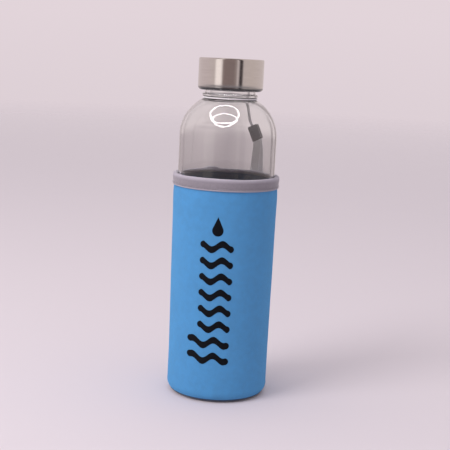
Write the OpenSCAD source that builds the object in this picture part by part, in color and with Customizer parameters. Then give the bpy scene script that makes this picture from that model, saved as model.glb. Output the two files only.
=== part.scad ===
// Glass water bottle with a screw cap, a padded fabric sleeve and a wrist strap.
// Millimetres. +Z is up, the origin is the centre of the sleeve's underside, and the front faces -Y.

/* [Glass bottle] */
// Outer diameter of the straight glass body
body_d = 63; // [56:0.5:76]
// Height of the straight side's top above the ground
body_top = 170; // [150:1:205]
// Thickness of the glass wall
glass_t = 1.8; // [1.4:0.1:2.4]
// Radius of the shoulder's round outline
shoulder_r = 27.2; // [26:0.1:28]
// Rounding between the side and the base
heel_r = 5; // [4:0.5:8]
// Rise of the pushed-up base at its centre
push_up = 3; // [1.5:0.5:4]
// Thickness of the glass floor
floor_t = 4; // [3:0.5:6]

/* [Neck and mouth] */
// Outer diameter of the neck
neck_d = 32.8; // [27:0.2:40]
// Thickness of the glass round the mouth
mouth_wall = 2.9; // [2.2:0.1:4]
// Height of the mouth's rim above the bead
finish_h = 18.6; // [15:0.1:23]
// How far the bead under the cap stands out from the neck
bead_proud = 1.4; // [1:0.1:1.8]
// Height of the bead
bead_h = 1.9; // [1.4:0.1:2.6]

/* [Thread] */
// Rise of the thread in one turn
pitch = 4; // [3.6:0.1:4.4]
// Height of the thread's ridge above the neck
ridge_h = 1.35; // [1:0.05:1.5]
// Radial clearance between the bottle's and the cap's threads
thread_gap = 0.3; // [0.25:0.05:0.5]
// Turns of ridge on the neck
neck_turns = 1.5; // [1:0.25:1.5]
// Turns of ridge inside the cap
cap_turns = 1.25; // [1:0.25:1.5]

/* [Cap] */
// Gap between the bead and the cap's lower edge
cap_gap = 2.2; // [1.5:0.1:3]
// Thickness of the steel
shell_t = 0.6; // [0.4:0.1:0.8]
// Radius of the curled lower edge
curl_r = 2.2; // [1.6:0.1:2.2]
// Thickness of the liner's threaded wall
liner_t = 1.6; // [1:0.1:2.4]
// Depth of the liner's ribs, between its wall and the shell
rib_d = 0.75; // [0.5:0.05:2]
// Thickness of the liner's top
liner_top_t = 1.8; // [1.2:0.1:2.6]
// Thickness of the gasket
seal_t = 1.6; // [1:0.1:2.4]

/* [Sleeve] */
// Height of the sleeve
sleeve_h = 145.6; // [110:0.2:150]
// Gap between the glass and the sleeve's lining
sleeve_gap = 0.3; // [0.3:0.05:0.6]
// Thickness of each knit skin
skin_t = 0.5; // [0.3:0.05:0.7]
// Thickness of the foam
foam_t = 1.6; // [1.2:0.1:2.5]
// Thickness of the foam in the bottom disc
base_foam_t = 2.5; // [2.5:0.1:4]
// Width of the seam between the wall and the bottom disc
base_seam_w = 0.9; // [0.6:0.1:1.4]
// Height of the binding tape on the outside
binding_h = 7.6; // [5:0.1:12]
// Height of the binding tape on the inside
binding_in_h = 2.4; // [1.5:0.1:5]
// Thickness of the binding tape
tape_t = 0.5; // [0.3:0.05:0.5]
// Height of the lapped end of the tape above the tape
lap_rise = 1.2; // [0.5:0.1:1.5]
// Width of the lapped end of the tape
lap_w = 11; // [6:0.5:16]
// Width of the back seam's stitching
seam_w = 5; // [3:0.5:8]
// Thickness of sewing thread
thread_t = 0.25; // [0.15:0.05:0.3]

/* [Print] */
// Thickness of the printed film
print_t = 0.15; // [0.1:0.05:0.3]
// Height of the lowest ripple's centre
print_low = 30; // [22:1:40]
// Distance from one ripple to the next
ripple_step = 10.4; // [9:0.1:12]
// Thickness of a ripple's line
ripple_t = 4.4; // [2:0.1:5]
// Room between the top of the print and the binding tape
print_top_room = 14; // [6:1:40]

/* [Strap] */
// Diameter of the thin cord
cord_d = 1; // [0.8:0.1:1.2]
// Clearance between the cord's ring and the glass
ring_gap = 0.2; // [0.15:0.05:0.4]
// Width of the woven strap
webbing_w = 7; // [5:0.5:9]
// Thickness of the woven strap
webbing_t = 1; // [0.6:0.1:1.2]
// Length of the clamp
clamp_l = 11; // [9:0.5:13]
// Width of the clamp
clamp_w = 8; // [7:0.5:10]
// Thickness of the clamp
clamp_t = 3.4; // [3:0.1:3.8]

/* [Hidden] */
$fn = 96;
arc_steps = 16;

// Stack of heights, from the ground up
base_t = skin_t + base_foam_t;
wall_t = 2 * skin_t + foam_t;
body_r = body_d / 2;
neck_r = neck_d / 2;
mouth_r = neck_r - mouth_wall;
bead_r = neck_r + bead_proud;
bead_round = 0.5;
cord_r = cord_d / 2;
shoulder_x = body_r - shoulder_r;
ring_x = neck_r + ring_gap + cord_r;
ring_z = body_top + sqrt(pow(shoulder_r + ring_gap + cord_r, 2) - pow(ring_x - shoulder_x, 2));
bead_low = ring_z + cord_r + ring_gap;
bead_high = bead_low + bead_h;
rim_z = bead_high + finish_h;
rim_round = 0.8;

// Floor of the bottle
foot_r = body_r - heel_r - 5.5;
inner_heel_r = heel_r + 2;
inner_r = body_r - glass_t;
floor_z = base_t + floor_t;
inner_foot_r = inner_r - inner_heel_r;

// Thread
ridge_r = neck_r + ridge_h;
ridge_root_w = 2;
ridge_tip_w = 0.9;
ridge_bury = 0.4;
liner_r = ridge_r + thread_gap;
turn_steps = 36;
fade_turn = 0.12;

// Cap
cap_r = liner_r + liner_t + rib_d + shell_t;
cap_low = bead_high + cap_gap;
seal_top = rim_z + seal_t;
liner_top = seal_top + liner_top_t;
cap_top = liner_top + shell_t;
shell_inner_r = cap_r - shell_t;
cap_round = 1;
seal_inner_r = mouth_r - 1.05;
seal_outer_r = liner_r - 0.75;
boss_gap = 0.3;
boss_h = seal_t - 0.2;
liner_low = cap_low + curl_r - shell_t - 0.2;
thread_low = liner_low + (pitch + ridge_root_w) / 2 + 0.5;
rib_count = 16;
rib_w = 1.2;
rib_play = 0.05;

// Sleeve
lining_r = body_r + sleeve_gap;
foam_in_r = lining_r + skin_t;
foam_out_r = foam_in_r + foam_t;
sleeve_r = foam_out_r + skin_t;
heel_x = body_r - heel_r;
heel_z = base_t + heel_r;
base_r = heel_x - base_seam_w;
wall_top = sleeve_h - tape_t;
binding_low = sleeve_h - binding_h;
inside_low = sleeve_h - binding_in_h;
tape_r = sleeve_r + tape_t;
back_seam_angle = 108;
lap_t = 0.5;
lap_round = 1;
lap_angle = lap_w / tape_r * 180 / PI;
seam_angle = seam_w / sleeve_r * 180 / PI;
seam_low = heel_z + 4;
stitch_z = binding_low + 1.2;

// Print, in the plane seen from the front
print_x = -3.6;
ripple_short = 21.6;
ripple_long = 27.8;
ripple_wave = 14;
ripple_rise = 1.9;
drop_r = 3.6;
drop_h = 2.4 * drop_r;
ripple_count = floor((binding_low - print_top_room - drop_h - print_low) / ripple_step);

// The strap hangs in an upright plane behind and to the right. Its points are
// [out from the axis, sideways to the left, up].
strap_turn = 57;
strand_gap = 0.6;
strand_route = [
    [18.5, -2.4, 194.3], [20.5, -1.7, 193.1], [22.4, -0.9, 191.6], [24.2, -0.1, 190],
    [25.9, 0.6, 188.1], [27.4, 1.2, 186.1], [28.7, 1.7, 184], [29.8, 2, 181.9],
    [31, 2.1, 179.8], [32.3, 1.9, 178], [33.6, 1.4, 176]
];
webbing_route = [
    [33.7, -2.6, 168], [33.8, -3.1, 165.5], [34.1, -3, 162], [34.9, -2.2, 157],
    [35.8, -1.2, 152], [36.4, -0.4, 147], [36.5, 0, 140], [36.5, 0, 125],
    [36.5, 0, 110], [36.5, 0, 95], [36.5, 0, 80], [36.5, 0, 65],
    [36.5, 0, 50], [36.6, 0, 38], [37.9, 0, 33], [41.6, 0, 29.3],
    [46.6, 0, 28], [51.6, 0, 29.3], [55.3, 0, 33], [56.6, 0, 38],
    [56.6, 0, 48], [55.8, 0, 60], [54.2, 0, 72], [52.2, 0, 85],
    [49.9, -0.2, 98], [47.4, -0.6, 111], [44.9, -1.2, 124], [42.4, -2, 136],
    [40.1, -2.8, 147], [38.3, -3.3, 155], [36.8, -3.5, 161], [35.5, -3.2, 165.5],
    [35, -2.6, 168]
];
clamp_at = [34.4, -0.9, 171.6];
clamp_tilt = 24;
clamp_lean = 4;
clamp_round = 1;

// Points along an arc round (x, y), from angle a to angle b.
function arc(x, y, r, a, b, steps = arc_steps) =
    [for (i = [0:steps]) [x + r * cos(a + (b - a) * i / steps), y + r * sin(a + (b - a) * i / steps)]];

// Points of a shallow dome from the axis at height top to radius r at height foot.
function dome(r, top, foot) =
    let (rise = top - foot, big = (r * r + rise * rise) / (2 * rise), a = asin(r / big))
    arc(0, top - big, big, 90, 90 - a);

function unit(v) = v / norm(v);

function heading(route, i) = unit(route[min(i + 1, len(route) - 1)] - route[max(i - 1, 0)]);

// One ring of a swept solid: the section's first axis stays level and sideways.
function swept_ring(route, section, i) =
    let (
        t = heading(route, i),
        side = unit([0, 1, 0] - ([0, 1, 0] * t) * t),
        out = cross(side, t)
    )
    [for (s = section) route[i] + s[0] * side + s[1] * out];

// A solid swept along a route, closed at both ends.
module swept(route, section) {
    n = len(section);
    last = (len(route) - 1) * n;
    sides = [
        for (i = [0:len(route) - 2], j = [0:n - 1])
            let (a = i * n + j, b = i * n + (j + 1) % n)
            each [[a, b, a + n], [b, b + n, a + n]]
    ];
    start = [for (j = [0:n - 1]) n - 1 - j];
    end = [for (j = [0:n - 1]) last + j];
    polyhedron(points = [for (i = [0:len(route) - 1]) each swept_ring(route, section, i)],
        faces = concat([start], sides, [end]));
}

// A ridge wound on a helix from height low, with its root at root_r and its tip at tip_r.
// It fades in and out over a short part of a turn at each end.
module helix_ridge(low, turns, root_r, tip_r) {
    steps = round(turns * turn_steps);
    inward = tip_r < root_r;
    bury = inward ? ridge_bury : -ridge_bury;
    rings = [
        for (i = [0:steps])
            let (
                turn = i / turn_steps,
                fade = min(1, turn / fade_turn + 0.15, (turns - turn) / fade_turn + 0.15),
                z = low + pitch * turn,
                tip = root_r + (tip_r - root_r) * fade,
                corners = [
                    [root_r + bury, z - ridge_root_w / 2], [tip, z - ridge_tip_w / 2],
                    [tip, z + ridge_tip_w / 2], [root_r + bury, z + ridge_root_w / 2]
                ]
            )
            [for (c = corners) [c[0] * cos(360 * turn), c[0] * sin(360 * turn), c[1]]]
    ];
    faces = [
        for (i = [0:steps - 1], j = [0:3])
            let (a = i * 4 + j, b = i * 4 + (j + 1) % 4)
            each inward ? [[a, a + 4, b], [b, a + 4, b + 4]] : [[a, b, a + 4], [b, b + 4, a + 4]]
    ];
    start = inward ? [0, 1, 2, 3] : [3, 2, 1, 0];
    end = inward ? [4 * steps + 3, 4 * steps + 2, 4 * steps + 1, 4 * steps]
        : [4 * steps, 4 * steps + 1, 4 * steps + 2, 4 * steps + 3];
    polyhedron(points = [for (r = rings) each r], faces = concat([start], faces, [end]));
}

// ---- Bottle ----

function shoulder_angle(r, big) = acos((r - shoulder_x) / big);

// Round joint where the shoulder's inside runs into the bore of the neck.
function throat() =
    let (
        f = 2,
        big = shoulder_r - glass_t,
        x = mouth_r + f,
        z = body_top + sqrt(pow(big + f, 2) - pow(x - shoulder_x, 2)),
        a = atan2(z - body_top, x - shoulder_x)
    )
    concat(arc(x, z, f, 180, 180 + a, 6), arc(shoulder_x, body_top, big, a, 0));

module glass_bottle() {
    outer = concat(
        dome(foot_r, base_t + push_up, base_t),
        arc(heel_x, heel_z, heel_r, -90, 0, 8),
        arc(shoulder_x, body_top, shoulder_r, 0, shoulder_angle(neck_r, shoulder_r)),
        [[neck_r, bead_low]],
        arc(bead_r - bead_round, bead_low + bead_round, bead_round, -90, 0, 4),
        arc(bead_r - bead_round, bead_high - bead_round, bead_round, 0, 90, 4),
        [[neck_r, bead_high]],
        arc(neck_r - rim_round, rim_z - rim_round, rim_round, 0, 90, 4)
    );
    inner = concat(
        arc(mouth_r + rim_round, rim_z - rim_round, rim_round, 90, 180, 4),
        throat(),
        arc(inner_foot_r, floor_z + inner_heel_r, inner_heel_r, 0, -90, 8),
        [[0, floor_z + push_up]]
    );
    color([0.82, 0.9, 0.9, 0.4])
        union() {
            rotate_extrude()
                polygon(concat(outer, inner));
            helix_ridge(thread_low, neck_turns, neck_r, ridge_r);
        }
}

// ---- Cap ----

module cap_shell() {
    color([0.72, 0.7, 0.69])
        rotate_extrude()
            polygon(concat(
                [[0, cap_top]],
                arc(cap_r - cap_round, cap_top - cap_round, cap_round, 90, 0, 8),
                arc(cap_r - curl_r, cap_low + curl_r, curl_r, 0, -90, 8),
                arc(cap_r - curl_r, cap_low + curl_r, curl_r - shell_t, -90, 0, 8),
                arc(cap_r - cap_round, cap_top - cap_round, cap_round - shell_t, 0, 90, 4),
                [[0, liner_top]]
            ));
}

module cap_insert() {
    edge = 0.5;
    rib_in = liner_r + liner_t / 2;
    rib_low = cap_low + curl_r + 1;
    color([0.85, 0.85, 0.83])
        union() {
            rotate_extrude()
                polygon([
                    [0, liner_top], [shell_inner_r - edge, liner_top],
                    [shell_inner_r, liner_top - edge], [shell_inner_r, seal_top],
                    [liner_r + liner_t, seal_top], [liner_r + liner_t, liner_low],
                    [liner_r, liner_low], [liner_r, seal_top],
                    [seal_inner_r - boss_gap, seal_top], [seal_inner_r - boss_gap, seal_top - boss_h],
                    [0, seal_top - boss_h]
                ]);
            for (i = [0:rib_count - 1])
                rotate([0, 0, 360 * i / rib_count])
                    translate([rib_in, -rib_w / 2, rib_low])
                        cube([shell_inner_r - rib_play - rib_in, rib_w, seal_top + liner_top_t / 2 - rib_low]);
            helix_ridge(thread_low - pitch / 2, cap_turns, liner_r, neck_r + thread_gap);
        }
}

module cap_seal() {
    color([0.93, 0.93, 0.91])
        translate([0, 0, rim_z])
            difference() {
                cylinder(r = seal_outer_r, h = seal_t);
                translate([0, 0, -1])
                    cylinder(r = seal_inner_r, h = seal_t + 2);
            }
}

// ---- Sleeve ----

// A layer of the sleeve's wall between two radii, turned in round the bottle's heel.
module sleeve_layer(inner, outer, top) {
    rotate_extrude()
        polygon(concat(
            [[outer, top]],
            arc(heel_x, heel_z, outer - heel_x, 0, -90, 12),
            arc(heel_x, heel_z, inner - heel_x, -90, 0, 12),
            [[inner, top]]
        ));
}

module sleeve_jersey() {
    color([0.33, 0.58, 0.82])
        sleeve_layer(foam_out_r, sleeve_r, wall_top);
}

module sleeve_foam() {
    color([0.12, 0.12, 0.13])
        sleeve_layer(foam_in_r, foam_out_r, wall_top);
}

module sleeve_lining() {
    color([0.08, 0.08, 0.1])
        sleeve_layer(lining_r, foam_in_r, inside_low);
}

module base_jersey() {
    color([0.3, 0.54, 0.78])
        cylinder(r = base_r, h = skin_t);
}

module base_foam() {
    color([0.12, 0.12, 0.13])
        translate([0, 0, skin_t])
            cylinder(r = base_r, h = base_foam_t);
}

module sleeve_binding() {
    tape_in = lining_r + tape_t;
    color([0.62, 0.59, 0.62])
        rotate_extrude()
            polygon(concat(
                [[lining_r, inside_low]],
                arc(lining_r + tape_t, sleeve_h - tape_t, tape_t, 180, 90, 6),
                arc(tape_r - tape_t, sleeve_h - tape_t, tape_t, 90, 0, 6),
                [
                    [tape_r, binding_low], [sleeve_r, binding_low], [sleeve_r, wall_top],
                    [tape_in, wall_top], [tape_in, inside_low]
                ]
            ));
}

module binding_overlap() {
    lap_in = foam_in_r;
    color([0.58, 0.55, 0.58])
        rotate([0, 0, back_seam_angle - lap_angle / 2])
            rotate_extrude(angle = lap_angle)
                difference() {
                    polygon(concat(
                        [[lap_in, sleeve_h], [lap_in, sleeve_h + lap_rise]],
                        arc(tape_r + lap_t - lap_round, sleeve_h + lap_rise - lap_round, lap_round, 90, 0, 6),
                        [[tape_r + lap_t, binding_low], [tape_r, binding_low]]
                    ));
                    translate([lap_in - 1, binding_low - 1])
                        square([tape_r - lap_in + 1, binding_h + 1]);
                }
}

// An arc of the stitching, lying on the tape at radius r.
module stitch_arc(r, start, angle) {
    rotate([0, 0, start])
        rotate_extrude(angle = angle)
            translate([r, stitch_z])
                square([thread_t, 0.4]);
}

module binding_stitch() {
    clear = 0.5;
    color([0.5, 0.47, 0.5]) {
        stitch_arc(tape_r, back_seam_angle + lap_angle / 2 + clear, 360 - lap_angle - 2 * clear);
        stitch_arc(tape_r + lap_t, back_seam_angle - lap_angle / 2 + clear, lap_angle - 2 * clear);
    }
}

module back_seam_stitch() {
    color([0.2, 0.4, 0.62])
        rotate([0, 0, back_seam_angle - seam_angle / 2])
            rotate_extrude(angle = seam_angle)
                translate([sleeve_r, seam_low])
                    square([thread_t, binding_low - seam_low]);
}

module base_seam_stitch() {
    color([0.1, 0.14, 0.24])
        rotate_extrude()
            translate([base_r, 0.3])
                square([base_seam_w, wall_t - 0.3]);
}

// ---- Print ----

// Outline of a wavy band of the given length round (0, 0), with round ends.
function ripple(length) =
    let (
        steps = 24,
        half = length / 2,
        lift = ripple_rise * sin(360 * half / ripple_wave),
        middle = [
            for (i = [0:steps])
                let (x = length * i / steps - half)
                [x, ripple_rise * sin(360 * x / ripple_wave)]
        ]
    )
    concat(
        [for (p = middle) p + [0, ripple_t / 2]],
        arc(half, lift, ripple_t / 2, 75, -75, 8),
        [for (i = [steps:-1:0]) middle[i] - [0, ripple_t / 2]],
        arc(-half, -lift, ripple_t / 2, -105, -255, 8)
    );

// Outline of a drop round (0, 0) with its point upwards.
drop = concat(arc(0, 0, drop_r, 155, 385, 16), [[0, drop_h]]);

// A thin film over the sleeve's front, in the shape of an outline.
module film(outline) {
    reach = sleeve_r + 4;
    intersection() {
        difference() {
            cylinder(r = sleeve_r + print_t, h = binding_low - 1);
            translate([0, 0, -1])
                cylinder(r = sleeve_r, h = binding_low + 1);
        }
        rotate([90, 0, 0])
            linear_extrude(height = reach)
                polygon(outline);
    }
}

module print_motif() {
    color([0.07, 0.08, 0.11]) {
        for (i = [0:ripple_count - 1])
            let (length = i < 2 ? ripple_long : ripple_short)
            film([
                for (p = ripple(length - ripple_t))
                    p + [print_x + (ripple_short - length) / 2, print_low + i * ripple_step]
            ]);
        film([for (p = drop) p + [print_x, print_low + ripple_count * ripple_step]]);
    }
}

// ---- Strap ----

cord_section = [for (i = [0:7]) [cord_r * cos(45 * i), cord_r * sin(45 * i)]];
webbing_section = [
    for (c = [[1, 0.5], [0.85, 1], [-0.85, 1], [-1, 0.5], [-1, -0.5], [-0.85, -1], [0.85, -1], [1, -0.5]])
        [c[0] * webbing_w / 2, c[1] * webbing_t / 2]
];

module neck_loop() {
    color([0.5, 0.5, 0.51])
        rotate_extrude()
            translate([ring_x, ring_z])
                circle(r = cord_r);
}

module strap_strands() {
    color([0.5, 0.5, 0.51])
        rotate([0, 0, strap_turn])
            for (side = [-1, 1])
                translate([0, side * strand_gap, 0])
                    swept(strand_route, cord_section);
}

module strap_clamp() {
    color([0.14, 0.14, 0.15])
        rotate([0, 0, strap_turn])
            translate(clamp_at)
                rotate([-clamp_tilt, 0, 0])
                    rotate([0, -clamp_lean, 0])
                        rotate([0, 90, 0])
                            translate([0, 0, -clamp_t / 2])
                                linear_extrude(height = clamp_t)
                                    union() {
                                        square([clamp_l - 2 * clamp_round, clamp_w], center = true);
                                        square([clamp_l, clamp_w - 2 * clamp_round], center = true);
                                        for (x = [-1, 1], y = [-1, 1])
                                            translate([x * (clamp_l / 2 - clamp_round),
                                                y * (clamp_w / 2 - clamp_round)])
                                                circle(r = clamp_round);
                                    }
}

module webbing_loop() {
    color([0.55, 0.54, 0.55])
        rotate([0, 0, strap_turn])
            swept(webbing_route, webbing_section);
}

glass_bottle();
cap_shell();
cap_insert();
cap_seal();
sleeve_jersey();
sleeve_foam();
sleeve_lining();
base_jersey();
base_foam();
sleeve_binding();
binding_overlap();
binding_stitch();
back_seam_stitch();
base_seam_stitch();
print_motif();
neck_loop();
strap_strands();
strap_clamp();
webbing_loop();
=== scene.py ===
"""Glass water bottle: the looks of each piece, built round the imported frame."""

import math

import bmesh
import bpy
from bpy.props import FloatProperty, FloatVectorProperty, IntProperty, PointerProperty
from mathutils import Matrix, Vector, noise


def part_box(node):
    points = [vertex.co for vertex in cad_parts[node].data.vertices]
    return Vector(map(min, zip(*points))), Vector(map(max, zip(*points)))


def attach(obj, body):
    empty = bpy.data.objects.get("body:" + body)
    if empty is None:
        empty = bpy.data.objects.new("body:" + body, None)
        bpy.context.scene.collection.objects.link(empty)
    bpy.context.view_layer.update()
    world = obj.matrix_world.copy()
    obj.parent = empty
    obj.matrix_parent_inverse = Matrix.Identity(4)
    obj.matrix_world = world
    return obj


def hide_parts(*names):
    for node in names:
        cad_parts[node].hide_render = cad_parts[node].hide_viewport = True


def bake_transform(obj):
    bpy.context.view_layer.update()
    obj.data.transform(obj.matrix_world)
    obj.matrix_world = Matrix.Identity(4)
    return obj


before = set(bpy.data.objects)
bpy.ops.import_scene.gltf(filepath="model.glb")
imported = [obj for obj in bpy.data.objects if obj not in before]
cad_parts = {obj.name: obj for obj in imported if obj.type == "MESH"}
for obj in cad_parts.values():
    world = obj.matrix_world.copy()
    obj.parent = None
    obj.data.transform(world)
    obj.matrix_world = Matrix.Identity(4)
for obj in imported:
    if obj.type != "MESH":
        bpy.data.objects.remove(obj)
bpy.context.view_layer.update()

bl_info = {
    "name": "Glass Water Bottle",
    "version": (1, 0, 0),
    "blender": (4, 5, 0),
    "location": "3D View > Sidebar > Bottle",
    "description": "Builds a glass water bottle with a knit sleeve, a steel cap and a wrist strap",
    "category": "Add Mesh",
}

MM = 0.001
TURN = 2 * math.pi

# Sizes that several pieces share.
SLEEVE_RADIUS = 34.4 * MM
SEAM_ANGLE = math.radians(108)
STRAP_ANGLE = math.radians(57)
BASE_HEIGHT = 3 * MM
FINISH_HEIGHT = 18.6 * MM
THREAD_TURNS = 1.5
LAP_WIDTH = 11 * MM
# Width and height of one knit loop, in millimetres.
WALE, COURSE = 0.62, 0.48


def tallest(node):
    """Height of a node's top."""
    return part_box(node)[1].z


def length(title, text, default):
    """A size that the user can change, in metres."""
    return FloatProperty(name=title, description=text, default=default, unit="LENGTH", precision=5)


def colour(title, text, default):
    """A colour that the user can change."""
    return FloatVectorProperty(
        name=title, description=text, default=default, size=3, subtype="COLOR", min=0, max=1
    )


class BottleSizes(bpy.types.PropertyGroup):
    """Sizes of the bottle, its cap, its sleeve and its strap."""

    body_radius: length("Body radius", "Outer radius of the straight glass", 31.5 * MM)
    shoulder_start: length("Shoulder start", "Height where the shoulder begins", 170 * MM)
    shoulder_radius: length("Shoulder radius", "Radius of the shoulder's round outline", 27.2 * MM)
    heel_radius: length("Heel radius", "Rounding at the foot of the glass", 5 * MM)
    glass_wall: length("Glass wall", "Thickness of the glass", 1.8 * MM)
    neck_radius: length("Neck radius", "Outer radius of the neck", 16.4 * MM)
    mouth_radius: length("Mouth radius", "Radius of the bore of the mouth", 13.5 * MM)
    bead_radius: length("Bead radius", "Outer radius of the bead under the cap", 17.8 * MM)
    bead_height: length("Bead height", "Height of the bead", 1.9 * MM)
    rim_height: length("Rim height", "Height of the mouth's rim", tallest("glass_bottle"))
    thread_pitch: length("Thread pitch", "Rise of the thread in one turn", 4 * MM)
    ridge_height: length("Ridge height", "Height of the thread's ridge", 1.35 * MM)
    cap_radius: length("Cap radius", "Outer radius of the cap", 21 * MM)
    cap_top: length("Cap top", "Height of the cap's top", tallest("cap_shell"))
    cap_low: length("Cap edge", "Height of the cap's lower edge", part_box("cap_shell")[0].z)
    curl_radius: length("Curl radius", "Radius of the cap's curled edge", 2.2 * MM)
    sheet_steel: length("Sheet thickness", "Thickness of the cap's steel", 0.6 * MM)
    sleeve_radius: length("Sleeve radius", "Outer radius of the sleeve", SLEEVE_RADIUS)
    sleeve_top: length("Sleeve top", "Height of the sleeve's bound edge", tallest("sleeve_binding"))
    sleeve_wall: length("Sleeve wall", "Thickness of the sleeve's laminate", 2.6 * MM)
    knit_skin: length("Knit skin", "Thickness of each knit skin", 0.5 * MM)
    tape_height: length("Tape height", "Height of the binding tape outside", 7.6 * MM)
    tape_inside: length("Tape inside", "Height of the binding tape inside", 2.4 * MM)
    stitch_length: length("Stitch length", "Length of one stitch", 2.6 * MM)
    thread_size: length("Thread size", "Diameter of the sewing thread", 0.34 * MM)
    film_thickness: length("Film thickness", "Thickness of the printed film", 0.12 * MM)
    cord_size: length("Cord size", "Diameter of the thin neck cord", 1 * MM)
    strap_width: length("Strap width", "Width of the woven strap", 7 * MM)
    strap_thickness: length("Strap thickness", "Thickness of the woven strap", 1 * MM)
    round_steps: IntProperty(name="Steps", description="Steps in a turn of a round piece", default=144, min=24)


class BottleColours(bpy.types.PropertyGroup):
    """Colours of the bottle's finishes."""

    glass: colour("Glass", "Tint of the glass", (0.95, 0.95, 0.95))
    steel: colour("Steel", "Brushed steel of the cap", (0.76, 0.72, 0.7))
    liner: colour("Liner", "Moulded liner in the cap", (0.80, 0.80, 0.77))
    gasket: colour("Gasket", "Silicone gasket", (0.86, 0.86, 0.84))
    knit: colour("Knit", "Sleeve's outer knit", (0.082, 0.312, 0.625))
    lining: colour("Lining", "Sleeve's inner knit", (0.05, 0.075, 0.13))
    foam: colour("Foam", "Sleeve's foam core", (0.014, 0.014, 0.016))
    tape: colour("Tape", "Binding tape", (0.29, 0.265, 0.3))
    tape_thread: colour("Tape thread", "Thread in the binding", (0.30, 0.27, 0.31))
    seam_thread: colour("Seam thread", "Thread in the back seam", (0.07, 0.22, 0.44))
    # Partly painted shade: this near-black navy is the seam thread's own colour and also stands in for the
    # shade along the sleeve's foot.
    base_thread: colour("Base thread", "Thread round the base", (0.012, 0.035, 0.10))
    film: colour("Film", "Printed film", (0.004, 0.005, 0.008))
    cord: colour("Cord", "Thin neck cord", (0.8, 0.77, 0.78))
    clamp: colour("Clamp", "Moulded clamp", (0.065, 0.054, 0.058))
    # Painted light: the strap colour is made far paler than the mid-grey strap, to make up for the shade it
    # sits in behind the glass.
    webbing: colour("Strap", "Woven strap", (0.78, 0.75, 0.75))
    floor: colour("Floor", "Studio floor", (0.69, 0.635, 0.665))


def sizes():
    """The sizes of this scene."""
    return bpy.context.scene.bottle_sizes


def colours():
    """The colours of this scene."""
    return bpy.context.scene.bottle_colours


# ---- Shared ways of making a piece ----


def arc(x, z, radius, start, end, steps):
    """Points of an arc in the profile plane, angles in degrees."""
    turns = [math.radians(start + (end - start) * i / steps) for i in range(steps + 1)]
    return [(x + radius * math.cos(a), z + radius * math.sin(a)) for a in turns]


def line(a, b, steps):
    """Points from a to b, both ends left out."""
    return [(a[0] + (b[0] - a[0]) * i / steps, a[1] + (b[1] - a[1]) * i / steps) for i in range(1, steps)]


def beside(x, z, *steps):
    """Points of a profile at steps of so many millimetres out and up from a place."""
    return [(x + a * MM, z + b * MM) for a, b in steps]


def soften(corners, radius, steps=4):
    """A closed profile with each corner rounded, limited by its shorter side."""
    points = []
    count = len(corners)
    for i, corner in enumerate(corners):
        here = Vector(corner)
        before = Vector(corners[i - 1]) - here
        after = Vector(corners[(i + 1) % count]) - here
        reach = min(radius, before.length * 0.45, after.length * 0.45)
        a = here + before.normalized() * reach
        b = here + after.normalized() * reach
        for k in range(steps + 1):
            t = k / steps
            points.append(tuple(a * (1 - t) ** 2 + here * 2 * t * (1 - t) + b * t * t))
    return points


def turned(profile, steps=None, closed=True):
    """A bmesh made by spinning a profile of (radius, height) points round Z."""
    bm = bmesh.new()
    verts = [bm.verts.new((r, 0, z)) for r, z in profile]
    edges = [bm.edges.new(pair) for pair in zip(verts, verts[1:])]
    if closed:
        edges.append(bm.edges.new((verts[-1], verts[0])))
    bmesh.ops.spin(
        bm, geom=verts + edges, cent=(0, 0, 0), axis=(0, 0, 1), dvec=(0, 0, 0), angle=TURN,
        space=Matrix.Identity(4), steps=steps or sizes().round_steps, use_merge=True,
        use_normal_flip=False, use_duplicate=False,
    )
    bmesh.ops.remove_doubles(bm, verts=bm.verts, dist=1e-6)
    bmesh.ops.recalc_face_normals(bm, faces=bm.faces)
    return bm


def add_piece(bm, name, material, body=None, nodes=(), sharp=35):
    """Turns a bmesh into a smooth-shaded object that rides on a body."""
    mesh = bpy.data.meshes.new(name)
    bm.to_mesh(mesh)
    bm.free()
    mesh.polygons.foreach_set("use_smooth", [True] * len(mesh.polygons))
    mesh.set_sharp_from_angle(angle=math.radians(sharp))
    mesh.materials.append(material)
    piece = bpy.data.objects.new(name, mesh)
    bpy.context.scene.collection.objects.link(piece)
    if body:
        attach(piece, body)
    if nodes:
        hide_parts(*nodes)
    return piece


def sleeve_piece(bm, name, material, node, sharp=35):
    """Adds a piece that rides on the sleeve and stands for one CAD node."""
    return add_piece(bm, name, material, body="sleeve", nodes=(node,), sharp=sharp)


def polar(radius, angle, height):
    """A place at a radius and an angle round the axis, and a height."""
    return Vector((radius * math.cos(angle), radius * math.sin(angle), height))


def push_out(vert, distance):
    """Moves a vertex away from the axis."""
    radius = math.hypot(vert.co.x, vert.co.y)
    vert.co.x += vert.co.x / radius * distance
    vert.co.y += vert.co.y / radius * distance


def kept(value, low=0.0, high=1.0):
    """A value kept between two others."""
    return max(low, min(high, value))


def wobble(point, scale, seed):
    """A smooth random value from about -1 to 1 at a place, for features of the given size."""
    return noise.noise(Vector(point) / scale + Vector((seed, 2.3 * seed, -1.7 * seed)))


def smooth_route(points, step):
    """A smooth curve through the points, with a point about every step."""
    points = [Vector(p) for p in points]
    ends = [2 * points[0] - points[1]] + points + [2 * points[-1] - points[-2]]
    route = []
    for a, b, c, d in zip(ends, ends[1:], ends[2:], ends[3:]):
        count = max(1, round((c - b).length / step))
        for i in range(count):
            t = i / count
            bend = (2 * a - 5 * b + 4 * c - d) * t * t
            twist = (3 * b - a - 3 * c + d) * t ** 3
            route.append(0.5 * (2 * b + (c - a) * t + bend + twist))
    route.append(points[-1])
    return route


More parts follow.
